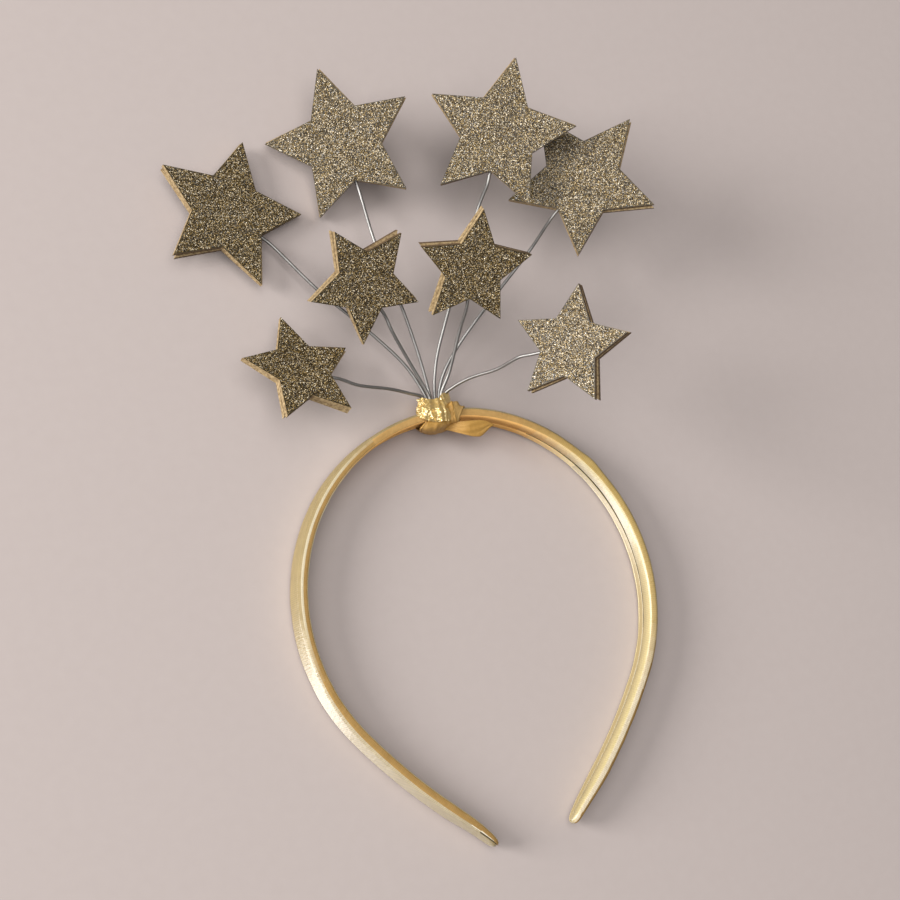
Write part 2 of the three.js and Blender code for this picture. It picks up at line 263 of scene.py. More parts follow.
# Its upper and lower edge, in shares of its length and depth
TAIL_EDGES = [
    {"along": 0.0, "upper": 0.0, "lower": -0.5},
    {"along": 0.15, "upper": 0.02, "lower": -0.66},
    {"along": 0.27, "upper": 0.04, "lower": -0.8},
    {"along": 0.42, "upper": 0.07, "lower": -0.94},
    {"along": 0.52, "upper": 0.09, "lower": -1.01},
    {"along": 0.61, "upper": 0.1, "lower": -1.03},
    {"along": 0.72, "upper": 0.1, "lower": -0.98},
    {"along": 0.83, "upper": 0.06, "lower": -0.7},
    {"along": 0.92, "upper": -0.03, "lower": -0.45},
    {"along": 1.0, "upper": -0.2, "lower": -0.26},
]

# Wires: their rows in the collar, where they start and leave it, and how they enter the stars
WIRE_RADIUS = 0.56
WIRE_ROW = 0.85
WIRE_FOOT = 67.8
WIRE_OUT = 70.6
WIRE_APPROACH = 4.0
WIRE_REACH = 0.15
WIRE_SIDES = 16
WIRE_STEPS = 14

# Stars: two layers each, with a glue line between
STAR_LARGE = 26.4
STAR_SMALL = 20.5
STAR_INNER = 0.5
STAR_POINTS = 5
# Heading of a star's first point before its turn, in degrees
STAR_UP = 90
# Its layers, and the side of the glue line that each lies on
LAYER = 1.6
GLUE_LINE = 0.3
LAYER_SIDES = {"front": 1, "back": -1}
# Cut edges facing this side keep their pale lit tone; the others take a darker copy, painted shade
EDGE_LIT_SIDE = (-0.97, -0.24, 0.0)
EDGE_LIT_FROM = 0.35
# Each star's radius and place, its lean in degrees and the heading of that lean, its turn, and the slip of
# its back layer along x, along y and round
STARS = [
    {
        "radius": STAR_LARGE, "at": (-57.3, 142.6, -0.9),
        "lean": 5.6, "toward": 8, "turn": 138, "slip": (0.4, -0.5, 1.5),
    },
    {
        "radius": STAR_LARGE, "at": (-13.6, 160.7, 6.2),
        "lean": 27, "toward": -153, "turn": 98.4, "slip": (0.2, 0.1, -1),
    },
    {
        "radius": STAR_LARGE, "at": (35.1, 152.3, 26),
        "lean": 27.7, "toward": -162, "turn": 65.6, "slip": (-0.2, 0.2, 0.8),
    },
    {
        "radius": STAR_LARGE, "at": (63, 133.3, 25.5),
        "lean": 29.5, "toward": -173, "turn": 38.5, "slip": (0.3, -0.2, -1),
    },
    {
        "radius": STAR_SMALL, "at": (-21.6, 109.2, 15),
        "lean": 23.2, "toward": -90, "turn": 119.3, "slip": (0.2, 0.5, 1.5),
    },
    {
        "radius": STAR_SMALL, "at": (12.2, 106.1, 28),
        "lean": 34.6, "toward": -106, "turn": 79.7, "slip": (-0.3, 0.3, -1),
    },
    {
        "radius": STAR_SMALL, "at": (-47.6, 84.1, 7),
        "lean": 19, "toward": 62, "turn": 163.6, "slip": (0.6, -0.4, -2),
    },
    {
        "radius": STAR_SMALL, "at": (33.2, 72.3, 42),
        "lean": 48.6, "toward": 175.5, "turn": -6.5, "slip": (0.2, 0.3, 1),
    },
]
# Each wire's foot in the collar, its row there and its bends on the way to the star of the same number
WIRES = [
    {
        "foot_x": -1.9, "row": -1,
        "bends": [(-6.2, 82, -0.9), (-17, 96.4, -1), (-31.7, 113, -1.2)],
    },
    {
        "foot_x": -0.3, "row": -1,
        "bends": [(-1.6, 83.7, 0.8), (-5.1, 102.8, 3.6), (-10, 124.7, 5.4)],
    },
    {
        "foot_x": 1.3, "row": -1,
        "bends": [(3.9, 82.1, 1.2), (9.9, 98, 8), (24, 129, 19.5)],
    },
    {
        "foot_x": 2.9, "row": -1,
        "bends": [(5.7, 77.4, 0.4), (12.3, 86, 3.5), (28.7, 102, 13), (40.8, 112.8, 17.5)],
    },
    {
        "foot_x": -1.5, "row": 1,
        "bends": [(-7.5, 83.5, 4.2), (-12.9, 93.1, 8.6)],
    },
    {
        "foot_x": 3, "row": 1,
        "bends": [(6.1, 77, 4.5), (9.2, 89.1, 14)],
    },
    {
        "foot_x": -3.9, "row": 1,
        "bends": [(-9.3, 72.8, 1.8), (-15.9, 74.8, 3), (-27.8, 77.3, 5)],
    },
    {
        "foot_x": 4.5, "row": 1,
        "bends": [(7, 72.2, 4), (10.9, 73.2, 9.5), (16.7, 72.9, 19), (21.2, 73.9, 28.5)],
    },
]

# Glitter: flat square flakes strewn over the outer faces
FLAKE_SIDES = 4
FLAKE_RADIUS = (0.1, 0.21)
FLAKE_LIFT = (0.03, 0.14)
FLAKE_TILT = 0.36
FLAKES_PER_MM2 = 24.0
FLAKE_MARGIN = 0.6
FLAKE_SEED = 7

# Ribs across the satin, from the period of the wave pattern at scale 1
RIB_PERIOD = 0.65
WAVE_PERIOD = math.pi / 10
RIB_SCALE = WAVE_PERIOD / RIB_PERIOD
RIB_DISTORTION = 2.0
RIB_DETAIL = 2.0
RIB_DETAIL_SCALE = 1.5
# Angle between the satin's threads and the hoop, as in ribbon cut on the bias
THREAD_ANGLE = math.radians(-27)
# A quarter turn lays the shine across the threads
SHINE_TURN = 0.25
SATIN_SPECULAR = 1.0
WEAVE_DEPTH = 0.15
# Patterns over cloth and wire: their steps for each millimetre along and across, and their fineness
DRIFT = {"stretch": (0.16, 0.4), "detail": 6.0, "roughness": 0.75}
THREADS = {"stretch": (0.6, 5.0), "detail": 3.0, "roughness": 0.5}
WAVES = {"stretch": (1.2, 0.45), "detail": 2.0, "roughness": 0.5}
SCUFFS = {"stretch": (0.3, 4.0), "detail": 3.0, "roughness": 0.5}

# Looks of the satins: the two tones that each drifts between, its shine, its weave and its ribs, where they
# differ from plain satin
PLAIN_SATIN = {
    "spread": (0.25, 0.75), "metallic": 0.0, "roughness": 0.55,
    "anisotropy": 0.95, "weave": 1.0, "ribs": 0.0,
}
SATINS = {
    "satin": {
        **PLAIN_SATIN, "dark": (0.25, 0.18, 0.055), "light": (0.52, 0.39, 0.145),
        "roughness": 0.52, "ior": 2.4, "ribs": 0.3,
    },
    # Painted shade: brown edges, where the band's front turns from the light
    "edge": {
        **PLAIN_SATIN, "dark": (0.31, 0.185, 0.06), "light": (0.44, 0.275, 0.1), "ior": 1.1, "ribs": 0.1,
    },
    # Painted highlight: the pale rim along the outer half of the left arm's front
    "rim": {
        **PLAIN_SATIN, "dark": (0.47, 0.4, 0.255), "light": (0.6, 0.52, 0.355), "ior": 1.4, "ribs": 0.1,
    },
    # Painted light: a dull copy of the satin that takes the shine off the left arm's corner
    "corner": {
        **PLAIN_SATIN, "dark": (0.27, 0.205, 0.1), "light": (0.38, 0.295, 0.155), "ior": 1.2, "ribs": 0.1,
    },
    # Painted light: lit tones for the front of the crown and the right arm, paler still on the leg
    "front_crown": {
        **PLAIN_SATIN, "dark": (0.4, 0.24, 0.085), "light": (0.56, 0.35, 0.135), "ior": 1.1,
    },
    "front_arm": {
        **PLAIN_SATIN, "dark": (0.42, 0.29, 0.09), "light": (0.6, 0.42, 0.145), "ior": 1.5, "ribs": 0.2,
    },
    "front_leg": {
        **PLAIN_SATIN, "dark": (0.58, 0.48, 0.31), "light": (0.7, 0.6, 0.41), "ior": 1.5, "ribs": 0.35,
    },
    # Painted light: the inner side's lit tones, orange at the crown and pale along the arms
    "inner_crown": {
        **PLAIN_SATIN, "dark": (0.78, 0.43, 0.14), "light": (0.96, 0.56, 0.19), "ior": 1.1,
    },
    "inner_arm": {
        **PLAIN_SATIN, "dark": (0.54, 0.44, 0.19), "light": (0.78, 0.64, 0.31), "ior": 2.2, "ribs": 0.3,
    },
    "lining": {
        **PLAIN_SATIN, "dark": (0.4, 0.3, 0.12), "light": (0.48, 0.37, 0.16),
        "anisotropy": 0.9, "ior": 2.1, "weave": 0.8, "ribs": 0.2,
    },
    "ribbon": {
        **PLAIN_SATIN, "dark": (0.42, 0.22, 0.04), "light": (0.54, 0.31, 0.08),
        "metallic": 0.1, "roughness": 0.5, "anisotropy": 0.8, "ior": 1.4, "weave": 0.9,
    },
    "foil": {
        **PLAIN_SATIN, "dark": (0.6, 0.35, 0.055), "light": (0.86, 0.65, 0.22),
        "metallic": 0.45, "roughness": 0.28, "anisotropy": 0.3, "ior": 2.5, "weave": 0.2,
    },
}

# Looks of the other surfaces: two tones, the share of the grain between them, its fineness and relief
GRAIN_DETAIL = 4.0
GRAIN_DEPTH = 0.2
GRAINS = {
    # Painted highlight on the edge of the fold at the band's left end
    "fold_highlight": {
        "dark": (0.7, 0.62, 0.46), "light": (0.85, 0.79, 0.64), "spread": (0.3, 0.7),
        "scale": 900, "roughness": 0.5, "relief": 0.2,
    },
    # Painted shade: near black for the seam's gap, the lining's edge beside it and the slit of the left
    # fold
    "seam_shade": {
        "dark": (0.05, 0.04, 0.02), "light": (0.1, 0.08, 0.04), "spread": (0.3, 0.7),
        "scale": 900, "roughness": 0.9, "relief": 0.2,
    },
    "glitter_backing": {
        "dark": (0.025, 0.017, 0.006), "light": (0.09, 0.065, 0.026), "spread": (0.35, 0.65),
        "scale": 1500, "roughness": 0.5, "relief": 0.5,
    },
    "glitter_edge": {
        "dark": (0.17, 0.105, 0.045), "light": (0.52, 0.39, 0.21), "spread": (0.3, 0.7),
        "scale": 1200, "roughness": 0.8, "relief": 0.4,
    },
    # Painted shade: a darker copy of the cut edge, for walls turned from the light
    "glitter_edge_shaded": {
        "dark": (0.05, 0.028, 0.012), "light": (0.2, 0.125, 0.06), "spread": (0.3, 0.7),
        "scale": 1200, "roughness": 0.8, "relief": 0.4,
    },
    "table": {
        "dark": (0.48, 0.42, 0.405), "light": (0.49, 0.43, 0.415), "spread": (0.3, 0.7),
        "scale": 250, "roughness": 0.95, "relief": 0.02,
    },
}
WIRE_LOOK = {
    "dark": (0.24, 0.235, 0.23), "light": (0.38, 0.37, 0.36), "spread": (0.3, 0.7), "roughness": 0.48,
}
GLITTER_ROUGHNESS = 0.22
GLITTER_IOR = 1.65
GLITTER_TONES = [
    {"share": 0.0, "colour": (0.007, 0.004, 0.001)},
    {"share": 0.45, "colour": (0.03, 0.018, 0.004)},
    {"share": 0.64, "colour": (0.18, 0.11, 0.026)},
    {"share": 0.83, "colour": (0.55, 0.385, 0.145)},
    {"share": 1.0, "colour": (1.0, 0.9, 0.7)},
]

# Table and light, in metres. Directions and distances are from the origin of the frame.
TABLE_HALF = 3.0
SKY_COLOUR = (1.0, 0.97, 0.94, 1)
SKY_STRENGTH = 0.2
LIGHTS = [
    {
        "name": "key", "direction": (-0.9, 0.24, 0.36), "distance": 2.4,
        "size": 1.1, "power": 66.0, "colour": (1.0, 0.98, 0.95),
    },
    {
        "name": "window", "direction": (-0.35, 0.05, 0.93), "distance": 2.4,
        "size": 2.6, "power": 45.0, "colour": (1.0, 0.98, 0.96),
    },
]

# Camera, in the hoop's axes
LOOK_AT = Vector((-2.0, 50.25, 8.24))
TO_CAMERA = Vector((-0.4263, -0.145, 0.8929)).normalized()
CAMERA_UP = Vector((0.148, 0.9626, 0.227))
CAMERA_DISTANCE = 650.0
CAMERA_LENS = 78.0
CAMERA_SENSOR = 36.0


# Points, meshes and smooth tables

def on_hoop(s, u, v):
    """Points beside the hoop: s along it from the crown, u outwards from its centreline, v to the front."""
    s, u, v = np.broadcast_arrays(s, u, v)
    arc = np.minimum(np.abs(s) / HOOP_RADIUS, HOOP_HALF_ANGLE)
    leg = np.maximum(np.abs(s) - HOOP_RADIUS * HOOP_HALF_ANGLE, 0) / LEG_RADIUS
    joint = HOOP_RADIUS - LEG_RADIUS
    x = joint * np.sin(arc) + (LEG_RADIUS + u) * np.sin(arc + leg)
    y = joint * np.cos(arc) + (LEG_RADIUS + u) * np.cos(arc + leg)
    return np.stack([np.where(s < 0, -x, x), y, v], axis=-1)


def rounded_box(u_min, u_max, v_min, v_max, first_corner, corner, steps):
    """Anticlockwise outline of a box with round corners, from the one at its upper limits."""
    centres = [
        (u_max - first_corner, v_max - first_corner, first_corner),
        (u_min + corner, v_max - corner, corner),
        (u_min + corner, v_min + corner, corner),
        (u_max - corner, v_min + corner, corner),
    ]
    points = []
    for quarter, (u, v, radius) in enumerate(centres):
        for i in range(steps + 1):
            angle = (quarter + i / steps) * math.pi / 2
            points.append((u + radius * math.cos(angle), v + radius * math.sin(angle)))
    return np.array(points)


def squarish(turn, roundness):
    """A sine or cosine bent towards a box: 2 gives a round ring, more a squarer one."""
    return np.sign(turn) * np.abs(turn) ** (2 / roundness)


def column(table, name):
    return np.array([row[name] for row in table], dtype=float)


def curve(t, start, leave, end, arrive):
    """A cubic from start to end as t goes from 0 to 1, with the slopes leave and arrive."""
    near = (2 * t**3 - 3 * t**2 + 1) * start + (t**3 - 2 * t**2 + t) * leave
    far = (3 * t**2 - 2 * t**3) * end + (t**3 - t**2) * arrive
    return near + far


def smooth_table(at, table, key, name):
    """A column of a table at other places, on a smooth curve through its rows."""
    keys = column(table, key)
    values = column(table, name)
    slopes = np.gradient(values, keys)
    i = np.clip(np.searchsorted(keys, at) - 1, 0, len(keys) - 2)
    span = keys[i + 1] - keys[i]
    t = np.clip((at - keys[i]) / span, 0, 1)
    return curve(t, values[i], span * slopes[i], values[i + 1], span * slopes[i + 1])


def hump(away):
    """A smooth bell of height 1."""
    return np.exp(-away * away)


def rumple(points, size):
    """Smooth noise from -1 to 1 at each point of an array."""
    flat = points.reshape(-1, 3) / size
    values = [noise.noise(Vector(p)) for p in flat.tolist()]
    return np.array(values).reshape(points.shape[:-1])


def lengths(path):
    """Distance along a path at each of its points."""
    return np.concatenate([[0], np.cumsum(np.linalg.norm(np.diff(path, axis=0), axis=1))])


def add_mesh(
    name, points, faces, materials, replaced=(), corner_uv=None, face_slots=None, smooth=True
):
    """A piece of the object from points in the hoop's axes, riding on the one body."""
    turn = np.array(PLACE.to_3x3())
    placed = (points.reshape(-1, 3) @ turn.T + np.array(PLACE.translation)) * MM
    # Nothing reaches below the table
    placed[:, 2] = np.maximum(placed[:, 2], 0)
    mesh = bpy.data.meshes.new(name)
    mesh.from_pydata(placed.tolist(), [], faces)
    for material in materials:
        mesh.materials.append(material)
    if face_slots is not None:
        mesh.polygons.foreach_set("material_index", face_slots)
    for map_name, values in (corner_uv or {}).items():
        mesh.uv_layers.new(name=map_name).data.foreach_set("uv", values.astype(np.float32).ravel())
    mesh.polygons.foreach_set("use_smooth", [smooth] * len(mesh.polygons))
    mesh.update()
    obj = bpy.data.objects.new(name, mesh)
    bpy.context.scene.collection.objects.link(obj)
    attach(obj, "root")
    if replaced:
        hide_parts(*replaced)
    return obj


def face_outwards(obj):
    shell = bmesh.new()
    shell.from_mesh(obj.data)
    bmesh.ops.recalc_face_normals(shell, faces=shell.faces)
    shell.to_mesh(obj.data)
    shell.free()


def add_cloth(
    name, points, materials, replaced=(), closed=True, capped=True, angle=0.0, slots=None
):
    """A mesh over rows of points, without the faces in a slot below 0. Its maps measure the cloth in
    millimetres, along its rows and along its threads, which lie at an angle to them."""
    rows, columns = points.shape[:2]
    spans = columns if closed else columns - 1
    i, j = np.meshgrid(np.arange(rows - 1), np.arange(spans), indexing="ij")
    i = i.ravel()
    j = j.ravel()
    row = i * columns
    k = (j + 1) % columns
    quads = np.stack([row + j, row + k, row + columns + k, row + columns + j], axis=1)
    along = lengths(points.mean(axis=1))
    ring = points[rows // 2]
    across = lengths(np.concatenate([ring, ring[:1]]) if closed else ring)
    flat = np.stack([
        np.stack([along[i], across[j]], axis=1),
        np.stack([along[i], across[j + 1]], axis=1),
        np.stack([along[i + 1], across[j + 1]], axis=1),
        np.stack([along[i + 1], across[j]], axis=1),
    ], axis=1)
    face_slots = np.zeros(len(quads), dtype=int) if slots is None else slots[i, j]
    kept = face_slots >= 0
    faces = quads[kept].tolist()
    flat = flat[kept].reshape(-1, 2)
    face_slots = face_slots[kept]
    if capped:
        faces += [list(range(columns)), list(range((rows - 1) * columns, rows * columns))]
        ends = [np.stack([np.full(columns, along[end]), across[:columns]], axis=1) for end in (0, -1)]
        flat = np.concatenate([flat, *ends])
        face_slots = np.concatenate([face_slots, [0, 0]])
    threads = np.stack([
        flat[:, 0] * math.cos(angle) + flat[:, 1] * math.sin(angle),
        flat[:, 1] * math.cos(angle) - flat[:, 0] * math.sin(angle),
    ], axis=1)
    maps = {"cloth": flat, "threads": threads}
    obj = add_mesh(name, points, faces, materials, replaced, maps, face_slots)
    face_outwards(obj)
    return obj


# Materials

def new_material(name):
    material = bpy.data.materials.new(name)
    material.use_nodes = True
    return material, material.node_tree.nodes, material.node_tree.links


def set_inputs(node, **values):
    for name, value in values.items():
        node.inputs[name.replace("_", " ")].default_value = value


def add_ramp(nodes, stops):
    ramp = nodes.new("ShaderNodeValToRGB")
    elements = ramp.color_ramp.elements
    while len(elements) < len(stops):
        elements.new(0.5)
    for element, (position, colour) in zip(elements, stops):
        element.position = position
        element.color = (*colour, 1)
    return ramp


def tone_ramp(nodes, look):
    return add_ramp(nodes, list(zip(look["spread"], (look["dark"], look["light"]))))


def mapped_noise(nodes, links, map_name, pattern):
    """Noise over a cloth map, stretched along it."""
    uv = nodes.new("ShaderNodeUVMap")
    uv.uv_map = map_name
    mapping = nodes.new("ShaderNodeMapping")
    mapping.inputs["Scale"].default_value = (*pattern["stretch"], 1)
    links.new(uv.outputs["UV"], mapping.inputs["Vector"])
    texture = nodes.new("ShaderNodeTexNoise")
    set_inputs(texture, Scale=1.0, Detail=pattern["detail"], Roughness=pattern["roughness"])
    links.new(mapping.outputs["Vector"], texture.inputs["Vector"])
    return texture


def make_satin(name, look):
    """Satin: a tone that drifts, with ribs across it, threads in low relief and a shine across them."""
    material, nodes, links = new_material(name)
    shader = nodes["Principled BSDF"]
    set_inputs(shader, Metallic=look["metallic"], Roughness=look["roughness"], IOR=look["ior"])
    set_inputs(shader, Specular_IOR_Level=SATIN_SPECULAR)
    set_inputs(shader, Anisotropic=look["anisotropy"], Anisotropic_Rotation=SHINE_TURN)
    tangent = nodes.new("ShaderNodeTangent")
    tangent.direction_type = "UV_MAP"
    tangent.uv_map = "threads"
    links.new(tangent.outputs["Tangent"], shader.inputs["Tangent"])
    drift = mapped_noise(nodes, links, "cloth", DRIFT)
    uv = nodes.new("ShaderNodeUVMap")
    uv.uv_map = "cloth"
    ribs = nodes.new("ShaderNodeTexWave")
    set_inputs(ribs, Scale=RIB_SCALE, Distortion=RIB_DISTORTION)
    set_inputs(ribs, Detail=RIB_DETAIL, Detail_Scale=RIB_DETAIL_SCALE)
    links.new(uv.outputs["UV"], ribs.inputs["Vector"])
    shading = nodes.new("ShaderNodeMix")
    set_inputs(shading, Factor=look["ribs"])
    links.new(drift.outputs["Fac"], shading.inputs["A"])
    links.new(ribs.outputs["Fac"], shading.inputs["B"])
    tone = tone_ramp(nodes, look)
    links.new(shading.outputs["Result"], tone.inputs["Fac"])
    links.new(tone.outputs["Color"], shader.inputs["Base Color"])
    threads = mapped_noise(nodes, links, "threads", THREADS)
    waves = mapped_noise(nodes, links, "cloth", WAVES)
    relief = nodes.new("ShaderNodeMath")
    relief.operation = "ADD"
    links.new(threads.outputs["Fac"], relief.inputs[0])
    links.new(waves.outputs["Fac"], relief.inputs[1])
    bump = nodes.new("ShaderNodeBump")
    set_inputs(bump, Strength=look["weave"], Distance=WEAVE_DEPTH * MM)
    links.new(relief.outputs["Value"], bump.inputs["Height"])
    links.new(bump.outputs["Normal"], shader.inputs["Normal"])
    return material


def make_shades(name, first, last):
    """Satins in even steps from one look to another."""
    made = []
    for i in range(SHADES):
        share = i / (SHADES - 1)
        look = {key: np.array(first[key]) * (1 - share) + np.array(last[key]) * share for key in first}
        made.append(make_satin(f"{name}_{i + 1}", look))
    return made


def make_grained(name):
    """A dull surface with a fine grain of colour and relief."""
    look = GRAINS[name]
    material, nodes, links = new_material(name)
    shader = nodes["Principled BSDF"]
    set_inputs(shader, Roughness=look["roughness"])
    place = nodes.new("ShaderNodeTexCoord")
    grain = nodes.new("ShaderNodeTexNoise")
    set_inputs(grain, Scale=look["scale"], Detail=GRAIN_DETAIL)
    links.new(place.outputs["Object"], grain.inputs["Vector"])
    tone = tone_ramp(nodes, look)
    links.new(grain.outputs["Fac"], tone.inputs["Fac"])
    links.new(tone.outputs["Color"], shader.inputs["Base Color"])
    bump = nodes.new("ShaderNodeBump")
    set_inputs(bump, Strength=look["relief"], Distance=GRAIN_DEPTH * MM)
    links.new(grain.outputs["Fac"], bump.inputs["Height"])
    links.new(bump.outputs["Normal"], shader.inputs["Normal"])
    return material


def make_flakes(name):
    """Glitter: each flake has its own tone."""
    material, nodes, links = new_material(name)
    shader = nodes["Principled BSDF"]
    set_inputs(shader, Roughness=GLITTER_ROUGHNESS, IOR=GLITTER_IOR)
    geometry = nodes.new("ShaderNodeNewGeometry")
    tone = add_ramp(nodes, [(row["share"], row["colour"]) for row in GLITTER_TONES])
    links.new(geometry.outputs["Random Per Island"], tone.inputs["Fac"])
    links.new(tone.outputs["Color"], shader.inputs["Base Color"])
    return material


def make_metal(name, look):
    """Drawn wire: bright metal with faint lengthwise scuffs."""
    material, nodes, links = new_material(name)
    shader = nodes["Principled BSDF"]
    set_inputs(shader, Metallic=1.0, Roughness=look["roughness"])
    scuffs = mapped_noise(nodes, links, "cloth", SCUFFS)
    tone = tone_ramp(nodes, look)
    links.new(scuffs.outputs["Fac"], tone.inputs["Fac"])
    links.new(tone.outputs["Color"], shader.inputs["Base Color"])
    return material


satin = make_satin("satin", SATINS["satin"])
satin_edge_shaded = make_satin("satin_edge_shaded", SATINS["edge"])
rim_highlight_shades = make_shades("satin_rim", SATINS["edge"], SATINS["rim"])
corner_dull_shades = make_shades("satin_corner", SATINS["corner"], SATINS["satin"])
front_lit_shades = make_shades("satin_front", SATINS["front_crown"], SATINS["front_arm"])
leg_highlight_shades = make_shades("satin_leg", SATINS["front_arm"], SATINS["front_leg"])
inner_shades = make_shades("satin_inner", SATINS["inner_crown"], SATINS["inner_arm"])
lining = make_satin("lining", SATINS["lining"])
ribbon = make_satin("ribbon", SATINS["ribbon"])
foil = make_satin("foil", SATINS["foil"])
fold_highlight = make_grained("fold_highlight")
seam_shade = make_grained("seam_shade")
wire_metal = make_metal("wire", WIRE_LOOK)
sheet_face = make_grained("glitter_backing")
sheet_edge = make_grained("glitter_edge")
sheet_edge_shaded = make_grained("glitter_edge_shaded")
glitter = make_flakes("glitter")


# Band and lining

def band_size(s):
    return np.interp(HALF_LENGTH - np.abs(s), column(BAND_TIP, "before_end"), column(BAND_TIP, "size"))


def band_stations(end):
    tip = end - column(BAND_TIP, "before_end")[:-1]
    steps = round(2 * tip.min() / BAND_STEP)
    middle = np.linspace(-tip.min(), tip.min(), steps + 1)[1:-1]
    return np.concatenate([-tip, middle, tip[::-1]])


def end_flare(s):
    shift = np.zeros_like(s)
    for flare in END_FLARES:
        reach = HALF_LENGTH - flare["end"] * s
        shift += flare["shift"] * np.clip(1 - reach / flare["length"], 0, 1) ** 2
    return shift


def shade_step(distance, start, end):
    """The step of a row of shades that runs between two distances along the hoop."""
    share = (distance - start) / (end - start)
    return np.rint(np.clip(share, 0, 1) * (SHADES - 1)).astype(int)


def band_section():
    """Outline of the covered hoop and the index where the lining's channel starts in it."""
    box = rounded_box(
        -BAND_HALF_THICKNESS, BAND_HALF_THICKNESS, -BAND_HALF_WIDTH, BAND_HALF_WIDTH,
        BAND_OUTER_CORNER, BAND_CORNER, BAND_CORNER_STEPS,
    )
    face = -BAND_HALF_THICKNESS
    floor = face + LINING_DEPTH
    front = LINING_FRONT + SEAM_GAP
    back = LINING_BACK - SEAM_GAP
    channel = [(face, front), (floor, front), (floor, back), (face, back)]
    half = len(box) // 2
    return np.concatenate([box[:half], channel, box[half:]]), half


def band_tones(s, outline, channel):
    """The band's materials, and the slot of each side of its section along the hoop. Its tones paint light
    and shade.
    """
    materials = [
        satin, satin_edge_shaded, seam_shade, fold_highlight,
        *rim_highlight_shades, *corner_dull_shades, *front_lit_shades, *leg_highlight_shades, *inner_shades,
    ]
    slots = np.zeros((len(s), len(outline)), dtype=int)

    def paint(where, material, step=0):
        np.copyto(slots, materials.index(material) + step, where=where)

    sides = np.roll(outline, -1, axis=0) - outline
    facing = np.abs(sides[:, 0]) / np.hypot(sides[:, 0], sides[:, 1])
    middle = outline[:, 0] + sides[:, 0] / 2
    upper = outline[:, 1] > 0
    edge = facing > EDGE_FACING
    corner_side = ~edge & (facing > CORNER_FACING) & (middle > 0) & upper
    lit = edge & (middle < LIT_TO)
    left = s < 0

    arm_step = shade_step(np.abs(s), SHADE_FROM, SHADE_TO)
    # The inner side's painted light, in steps from the crown
    paint(sides[:, 1] < 0, inner_shades[0], arm_step)
    # Edges take the brown painted shade
    paint(edge, satin_edge_shaded)
    rim_in = shade_step(-s, RIM_START, RIM_START + RIM_FADE)
    rim_out = shade_step(-s, RIM_END, RIM_END - RIM_FADE)
    # The pale rim, a painted highlight
    paint(edge & (middle > RIM_FROM) & upper & left, rim_highlight_shades[0], np.minimum(rim_in, rim_out))
    # The corner's dull copy, painted over the shine
    paint(corner_side & left, corner_dull_shades[0], shade_step(-s, CORNER_DULL_TO, CORNER_SHINY_FROM))
    # The lit front is painted light, and paler on the leg as a painted highlight
    paint(lit & (s > -SHADE_FROM), front_lit_shades[0], np.where(left, 0, arm_step))
    paint(lit & (s > LEG_PALE_FROM), leg_highlight_shades[0], shade_step(s, LEG_PALE_FROM, LEG_PALE_TO))
    # A brown strip of painted shade widens along the leg's outer edge
    leg_along = column(LEG_EDGE, "along")
    brown_from = np.interp(s, leg_along, column(LEG_EDGE, "brown_from"))
    paint((edge | corner_side) & upper & (middle > brown_from) & (s > leg_along[0]), satin_edge_shaded)

    at = np.arange(len(outline))
    channel_side = (at >= channel) & (at < channel + CHANNEL_SIDES)
    # The channel's sides, seen through the seam's gap, are painted dark as shade
    paint(channel_side & (np.abs(s) < HALF_LENGTH - SEAM_SHORT), seam_shade)
    # Dark and brown marks are painted shade, pale ones a painted highlight
    tones = {"dark": seam_shade, "pale": fold_highlight, "brown": satin_edge_shaded}
    for mark in END_MARKS:
        reach = HALF_LENGTH - mark["end"] * s
        marked = (at >= mark["first"]) & (at <= mark["last"])
        paint(marked & (reach > mark["near"]) & (reach < mark["far"]), tones[mark["tone"]])
    return materials, slots


def make_band():
    outline, channel = band_section()
    s = band_stations(HALF_LENGTH)[:, None]
    size = band_size(s)
    u = outline[:, 0] * size
    v = outline[:, 1] * size
    share_u = outline[:, 0] / BAND_HALF_THICKNESS
    share_v = outline[:, 1] / BAND_HALF_WIDTH
    reach = np.maximum(np.hypot(share_u, share_v), BAND_UNEVEN_CORE)
    uneven = BAND_UNEVEN * rumple(on_hoop(s, u, v), BAND_UNEVEN_SIZE)
    bump = BUMP_HEIGHT * hump((s - BUMP_AT) / BUMP_LENGTH)
    fold = END_FOLD_DEPTH * hump((np.arctan2(share_v, share_u) - math.pi / 4) / END_FOLD_BREADTH)
    fold = fold * np.clip(1 - (HALF_LENGTH + s) / END_FOLD_LENGTH, 0, 1)
    u = u * (1 + uneven / (BAND_HALF_THICKNESS * reach))
    u = u + np.where(outline[:, 0] > 0, bump, 0) - fold + end_flare(s)
    v = v * (1 + uneven / BAND_HALF_WIDTH) - fold
    channel_front = slice(channel, channel + CHANNEL_FRONT_POINTS)
    v[:, channel_front] += SEAM_OPENING * hump((np.abs(s) - SEAM_OPEN_AT) / SEAM_OPEN_LENGTH)
    points = on_hoop(s, u, v)
    materials, slots = band_tones(s, outline, channel)
    add_cloth("band_satin", points, materials, ["band"], angle=THREAD_ANGLE, slots=slots)


